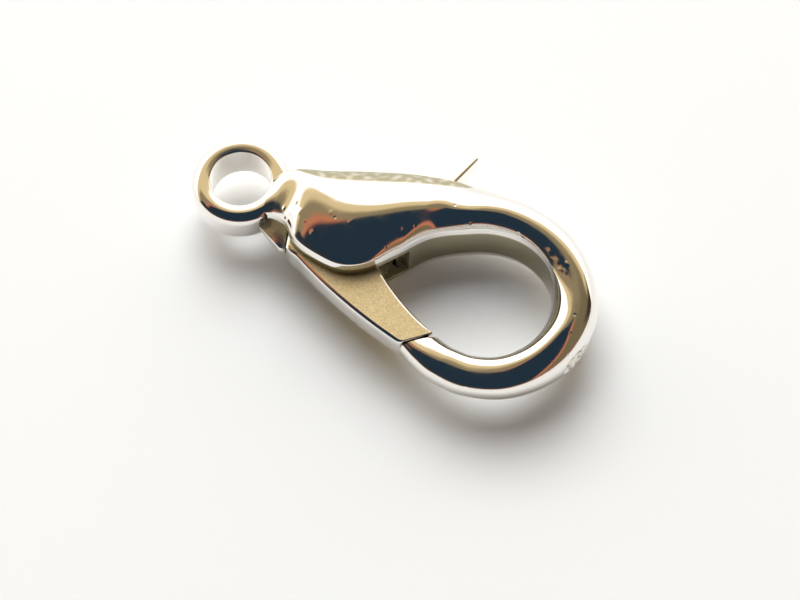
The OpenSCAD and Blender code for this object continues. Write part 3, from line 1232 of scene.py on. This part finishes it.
    def mark_surface(self, obj: bpy.types.Object) -> None:
        """Presses the pits and the flow mark into the skin and raises the rough stub of the sprue.

        A pit is a bowl of depth (1 - (distance / radius)^2)^2, and the mark a groove that falls evenly to
        its line, uneven along it.

        Args:
            obj: The casting's skin.
        """
        p = self.place.laid_out(points_of(obj))
        shift = np.zeros(len(p))
        upper = p[:, 2] > self.middle_h
        for x, y, r in self.PITS:
            apart = np.hypot(p[:, 0] - x, p[:, 1] - y) / r
            shift -= upper * self.pit_depth * r * np.clip(1 - apart**2, 0, 1) ** 2
        groove = np.clip(1 - distance_to_line(p[:, :2], self.FLOW_MARK) / self.mark_reach, 0, 1)
        uneven = np.clip(0.6 + 0.7 * ripple(p, *self.MARK_RIPPLE), 0, 1.4)
        shift -= upper * self.mark_depth * groove * uneven
        shift += self.stub_share(p) * (self.stub_rise + self.stub_uneven * ripple(p, *self.STUB_RIPPLE))
        moved = p + vectors(obj.data.vertex_normals, "vector") * shift[:, None]
        set_points(obj, self.place.metres(moved))

    def stub_share(self, p: Array) -> Array:
        """Share of the sprue's broken stub at each point: an oval on the outer edge of the nose.

        Args:
            p: Places in mm, [n, 3].

        Returns:
            The shares, 0 to 1, [n].
        """
        way = p[:, :2] - self.casting.hook_c
        bearing = np.degrees(np.arctan2(way[:, 1], way[:, 0]))
        apart = np.hypot((bearing - self.stub_deg) / self.stub_span_deg, (p[:, 2] + 0.05) / self.stub_half_h)
        outside = np.hypot(way[:, 0], way[:, 1]) > self.casting.hook_r + 0.45
        return outside * window(apart, -1, 0.9, 0.35)

    def find_rough_and_painted_shade(self, obj: bpy.types.Object) -> None:
        """Stores where the casting is rough as cast, and where it gets painted shade, for the plating.

        Rough are a lens-shaped strip along the spine on either side, the flow mark, the stub and the
        slot's walls. The flat wall inside the hook gets painted shade: a darker colour for the shaded floor
        it mirrors.

        Args:
            obj: The casting.
        """
        steps = 12
        first, last = self.strip_rows
        p = self.place.laid_out(points_of(obj))
        upper, off_middle = p[:, 2] > self.middle_h, np.abs(p[:, 2]) > self.middle_h
        s = smooth_rows(self.casting.rows(), steps)
        apart = np.linalg.norm(p[:, None, :2] - s[None, :, 2:4], axis=2)
        near, along = apart.min(1), apart.argmin(1) / steps
        lens = np.sqrt(np.clip(np.sin(np.pi * (along - first) / (last - first)), 0, 1))
        lens *= window(along, first, last, self.strip_fade)
        far_side = self.strip_edge + self.strip_end_w + self.strip_w * lens
        strip = window(near, self.strip_edge, far_side, self.strip_fade)
        strip *= (lens > 0) * off_middle * np.clip(0.95 + 0.3 * ripple(p, *self.STRIP_RIPPLE), 0, 1)
        mark = np.clip(1.3 - distance_to_line(p[:, :2], self.FLOW_MARK) / self.mark_dull, 0, 1) * upper
        values = np.empty(len(p))
        obj.data.attributes["skin"].data.foreach_get("value", values)
        pocket = (values < 0.5) & (np.abs(p[:, 2]) <= self.lever.slot_t / 2 + 1e-3)
        stub = self.stub_share(p)
        cast = np.max([strip, self.MARK_ROUGH * mark, self.STUB_ROUGH * stub, self.SLOT_ROUGH * pocket], 0)
        set_attribute(obj, "as_cast", np.clip(cast, 0, 1))
        # Painted shade: the flat wall inside the hook, below its steep facet, is marked for the darker colour
        nearest = np.linalg.norm(p[:, None, :2] - s[None, :, 0:2], axis=2).argmin(1)
        wall, crisp = s[nearest, 5], np.clip(s[nearest, 8], 0, 1)
        flat = distance_to_line(p[:, :2], s[:, 0:2]) < self.casting.draft + 0.01
        set_attribute(obj, "painted_wall_shade", crisp * flat * (np.abs(p[:, 2]) < wall - self.casting.lip_h + 0.01))

    def dress(self, obj: bpy.types.Object, plating: bpy.types.Material) -> None:
        """Gives the casting its plating and seats it on its body.

        Args:
            obj: The casting.
            plating: Its material.
        """
        obj.data.materials.clear()
        obj.data.materials.append(plating)
        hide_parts("clasp_body")
        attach(obj, Body.CASTING.value)


@dataclass
class FinishedLever:
    """The finished trigger lever.

    Attributes:
        lever: Its shape.
        place: Where the laid-out clasp lies.
        smooth_deg: Edges sharper than this stay crisp.
    """

    lever: TriggerLever
    place: Placement
    smooth_deg: float = 30.0

    def taper_tab(self, obj: bpy.types.Object) -> None:
        """Thins the thumb tab evenly from where it leaves the cheeks to its end.

        The plate is cut across at the start of the taper, so that its faces stay flat on both sides.

        Args:
            obj: The lever's plate.
        """
        start = 0.8 * self.lever.casting.spine_reach
        mesh = bmesh.new()
        mesh.from_mesh(obj.data)
        parts = mesh.verts[:] + mesh.edges[:] + mesh.faces[:]
        on_line = self.place.metres(np.array([0, start, 0]))
        bmesh.ops.bisect_plane(mesh, geom=parts, plane_co=on_line, plane_no=(0, 1, 0))
        mesh.to_mesh(obj.data)
        mesh.free()
        p = self.place.laid_out(points_of(obj))
        p[:, 2] *= 1 - self.lever.tab_taper * np.clip(p[:, 1] - start, 0, None)
        set_points(obj, self.place.metres(p))

    def build(self) -> bpy.types.Object:
        """Makes the lever with the hole for its pin and the seat of its spring.

        Returns:
            The lever.
        """
        lv, c = self.lever, self.lever.casting
        obj = tube_object("finished_lever", self.place.metres(lv.plate()))
        self.taper_tab(obj)
        hole = polar(np.linspace(0, 360, 65)[:-1], c.pin_d / 2 + lv.pin_play) + lv.pivot
        work(obj, prism_object("hole", hole, -lv.thick, lv.thick, self.place), Join.CUT)
        coil_r = c.pin_d / 2 + lv.pin_play + lv.wire_d
        seat = polar(np.linspace(0, 360, 65)[:-1], coil_r + lv.pin_play) + lv.pivot
        top = -lv.thick / 2 + (lv.turns + 0.5) * lv.wire_d + 2 * lv.pin_play
        work(obj, prism_object("seat", seat, -lv.thick, top, self.place), Join.CUT)
        # Room for the spring's leg, which stays where it is while the lever turns
        sweep = lv.leg_deg + lv.leg_room_deg - np.arange(4) * (lv.open_deg + 2 * lv.leg_room_deg) / 3
        fan = np.vstack([[0, 0], polar(sweep, c.spine_reach)])[::-1]
        work(obj, prism_object("notch", fan + lv.pivot, -lv.thick, top, self.place), Join.CUT)
        smooth(obj, self.smooth_deg)
        return obj

    def dress(self, obj: bpy.types.Object, plating: bpy.types.Material, frosted: bpy.types.Material) -> None:
        """Frosts the two flat faces, plates the rest and seats the lever on its body.

        Args:
            obj: The lever.
            plating: Material of its edges.
            frosted: Material of its flat faces.
        """
        mesh = obj.data
        mesh.materials.clear()
        mesh.materials.append(plating)
        mesh.materials.append(frosted)
        # Upright share of a face's direction: above the first it is flat, below the second a bevel or side
        frosted_from, smooth_below = 0.9985, 0.98
        level = np.abs(vectors(mesh.polygons, "normal")[:, 2])
        mesh.polygons.foreach_set("material_index", (level > frosted_from).astype(np.int32))
        mesh.polygons.foreach_set("use_smooth", level < smooth_below)
        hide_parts("trigger_lever")
        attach(obj, Body.LEVER.value)


# Room and studio


@dataclass(frozen=True)
class Edge:
    """Soft edge of a patch of the room.

    Attributes:
        way: A direction as right, far and up, seen from the camera.
        start: The edge's share is 0 up to here, measured along that direction,
        full: and 1 from here on.
    """

    way: tuple[float, float, float]
    start: float
    full: float


def edges(start: float, full: float, *ways: tuple[float, float, float]) -> tuple[Edge, ...]:
    """Edges that fade over the same stretch, one for each direction."""
    return tuple(Edge(way, start, full) for way in ways)


@dataclass(frozen=True)
class RoomPatch:
    """One part of the room that lights the clasp.

    Attributes:
        name: What it stands for.
        colour: Its colour.
        edges: Its edges. Its share in a direction is the product of theirs.
        strength: Its brightness.
    """

    name: str
    colour: str
    edges: tuple[Edge, ...] = ()
    strength: float = 1.0


# Sides of the window and of the camera's stand, and the plain directions, as right, far and up
WINDOW = ((0, 0.92, -0.686), (-0.39, 0.92, -0.686))
STAND = ((0.47, -0.81, 0.345), (-0.70, -0.40, 0.42), (0, -0.92, 0.39))
RIGHT, LEFT, FAR, NEAR, DOWN = (1, 0, 0), (-1, 0, 0), (0, 1, 0), (0, -1, 0), (0, 0, -1)

# The room, from its largest part to those that stand before it
ROOM = (
    RoomPatch("walls", "#8f8062"),
    RoomPatch("wall on the right", "#75694f", edges(0.2, 0.6, RIGHT)),
    RoomPatch("pale ceiling by the window", "#e0c898", edges(-0.26, -0.16, *WINDOW)),
    RoomPatch(
        "dark corner", "#3a2c20", edges(0.6, 0.8, RIGHT) + edges(-0.5, -0.25, DOWN) + edges(0, 0.2, FAR)
    ),
    RoomPatch(
        "warm rim of the camera's stand",
        "#c47a58",
        edges(-0.10, -0.02, *STAND[:2]) + edges(0.03, 0.15, STAND[2]),
    ),
    RoomPatch("camera and its stand", "#22323f", edges(-0.01, 0.05, *STAND)),
    RoomPatch(
        "dark cupboard on the left",
        "#2a323a",
        edges(0.5, 0.65, LEFT) + edges(0, 0.12, NEAR) + edges(-0.6, -0.45, DOWN),
    ),
    RoomPatch("table edge", "#b07a5c", edges(-0.16, -0.04, DOWN) + edges(0, 0.3, NEAR), 0.7),
    RoomPatch("window", "#fff8ee", edges(-0.06, 0, *WINDOW), 1.5),
)


def patch_share(
    tree: bpy.types.NodeTree, way: bpy.types.NodeSocket, patch: RoomPatch
) -> bpy.types.NodeSocket:
    """Works out the share of a patch in each direction.

    Args:
        tree: Node tree of the room.
        way: Direction, as right, far and up.
        patch: The patch, with one edge or more.

    Returns:
        The share, 0 to 1.
    """
    share = None
    for edge in patch.edges:
        along = add_node(
            tree, "ShaderNodeVectorMath", {"operation": "DOT_PRODUCT", 1: edge.way}, {0: way}
        ).outputs["Value"]
        part = add_node(
            tree,
            "ShaderNodeMapRange",
            {"interpolation_type": "SMOOTHSTEP", "From Min": edge.start, "From Max": edge.full},
            {"Value": along},
        ).outputs["Result"]
        if share is None:
            share = part
        else:
            share = add_node(
                tree, "ShaderNodeMath", {"operation": "MULTIPLY"}, {0: share, 1: part}
            ).outputs["Value"]
    return share


def aim(obj: bpy.types.Object, azimuth: float, elevation: float, distance: float) -> None:
    """Puts a camera or light at a distance from the point it faces.

    Args:
        obj: The camera or light, already at the point that it faces.
        azimuth: Bearing from that point, in degrees.
        elevation: Height over the surface, in degrees.
        distance: Distance in mm.
    """
    a, e = math.radians(azimuth), math.radians(elevation)
    back = Vector((math.cos(a) * math.cos(e), math.sin(a) * math.cos(e), math.sin(e)))
    obj.location = obj.location + back * distance * MM
    obj.rotation_mode = "QUATERNION"
    obj.rotation_quaternion = back.to_track_quat("Z", "Y")
    bpy.context.scene.collection.objects.link(obj)


@dataclass(frozen=True)
class Studio:
    """Plain pale floor, soft light and the camera at the photo's angle.

    Attributes:
        place: Where the laid-out clasp lies.
        azimuth: Bearing of the camera in the row's frame, in degrees.
        elevation: Its height over the surface, in degrees.
        distance: From the point it looks at, in mm.
        target: Point that it looks at, laid out in mm.
        lens: Focal length for a 36 mm sensor.
        paper: Colour of the floor.
        floor_side: Side of the floor, in mm.
        light_colour: Colour of the soft light.
        light_bearing: Its bearing from the camera's, in degrees.
        light_elevation: Its height over the surface, in degrees.
        light_distance: From the origin, in mm.
        light_size: Its side, in mm.
        light_power: Its power, in W.
        room: The room's patches.
    """

    place: Placement
    azimuth: float = -67.06
    elevation: float = 63.0
    distance: float = 48.65
    target: tuple[float, float, float] = (5.432, -1.514, 0.0)
    lens: float = 81.0
    paper: str = "#f8f8f6"
    floor_side: float = 1200.0
    light_colour: str = "#f3f9ff"
    light_bearing: float = 190.0
    light_elevation: float = 55.0
    light_distance: float = 300.0
    light_size: float = 260.0
    light_power: float = 0.99
    room: tuple[RoomPatch, ...] = ROOM

    def camera(self) -> None:
        """Makes the camera at the photo's angle."""
        data = bpy.data.cameras.new("camera")
        data.lens, data.sensor_width = self.lens, 36.0
        data.clip_start, data.clip_end = 0.001, 10.0
        obj = bpy.data.objects.new("camera", data)
        obj.location = self.place.metres(np.array(self.target))
        aim(obj, self.azimuth, self.elevation, self.distance)
        bpy.context.scene.camera = obj

    def soft_light(self) -> None:
        """Makes the large soft light, which gives the shadow and doesn't show in the plating."""
        data = bpy.data.lights.new("soft_light", "AREA")
        data.energy, data.size = self.light_power, self.light_size * MM
        data.color = linear(self.light_colour)[:3]
        obj = bpy.data.objects.new("soft_light", data)
        obj.visible_glossy = False
        aim(obj, self.azimuth + self.light_bearing, self.light_elevation, self.light_distance)

    def floor(self) -> None:
        """Makes the pale paper sheet under the clasp."""
        corners = np.array([[-1, -1, 0], [1, -1, 0], [1, 1, 0], [-1, 1, 0]]) * self.floor_side / 2 * MM
        obj = new_object("floor", corners, [[0, 1, 2, 3]])
        material, tree = new_tree("white_paper")
        shader = add_node(
            tree, "ShaderNodeBsdfPrincipled", {"Base Color": linear(self.paper), "Roughness": 0.9}
        ).outputs["BSDF"]
        add_node(tree, "ShaderNodeOutputMaterial", {}, {"Surface": shader})
        obj.data.materials.append(material)

    def surroundings(self) -> None:
        """Lights the scene from all sides with the room's patches, each laid over those before it."""
        world = bpy.data.worlds.new("room")
        bpy.context.scene.world = world
        world.use_nodes = True
        tree = world.node_tree
        tree.nodes.clear()
        way = add_node(tree, "ShaderNodeTexCoord").outputs["Generated"]
        turn = (0.0, 0.0, -math.radians(self.azimuth + 90))
        way = add_node(
            tree, "ShaderNodeMapping", {"vector_type": "POINT", "Rotation": turn}, {"Vector": way}
        ).outputs[0]
        colour = None
        for patch in self.room:
            tone = tuple(v * patch.strength for v in linear(patch.colour)[:3]) + (1.0,)
            if colour is None:
                colour = add_node(tree, "ShaderNodeRGB").outputs["Color"]
                colour.default_value = tone
            else:
                links = {0: patch_share(tree, way, patch), 6: colour}
                colour = add_node(tree, "ShaderNodeMix", {"data_type": "RGBA", 7: tone}, links).outputs[2]
        back = add_node(tree, "ShaderNodeBackground", {"Strength": 1.0}, {"Color": colour})
        add_node(tree, "ShaderNodeOutputWorld", {}, {"Surface": back.outputs["Background"]})


def main() -> None:
    """Builds the clasp and its studio."""
    logging.basicConfig(level=logging.INFO, format="%(message)s")
    bpy.context.scene.view_settings.view_transform = "Standard"
    casting = Casting()
    lever = TriggerLever(casting)
    place = casting.placement(lever.tab_reach)
    log.info("placement %s", place)
    plating = BrightPlating().build()
    frosted = FrostedPlating().build()
    steel = DrawnSteel().build()

    body = ClaspBody(casting, lever, place)
    body_obj = body.build()
    body.dress(body_obj, plating)
    log.info("casting: %d faces", len(body_obj.data.polygons))

    finished_lever = FinishedLever(lever, place)
    lever_obj = finished_lever.build()
    finished_lever.dress(lever_obj, plating, frosted)
    log.info("lever: %d faces", len(lever_obj.data.polygons))

    for node in ("pivot_pin", "coil_spring"):
        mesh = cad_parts[node].data
        mesh.materials.clear()
        mesh.materials.append(steel)
        log.info("%s: drawn steel", node)

    studio = Studio(place)
    studio.camera()
    studio.floor()
    studio.soft_light()
    studio.surroundings()

    # The finer curves pass the model's own by a thousandth of a millimetre or two
    for obj in (body_obj, lever_obj):
        set_points(obj, np.clip(points_of(obj), *CAD_BOX))


if __name__ == "__main__":
    main()
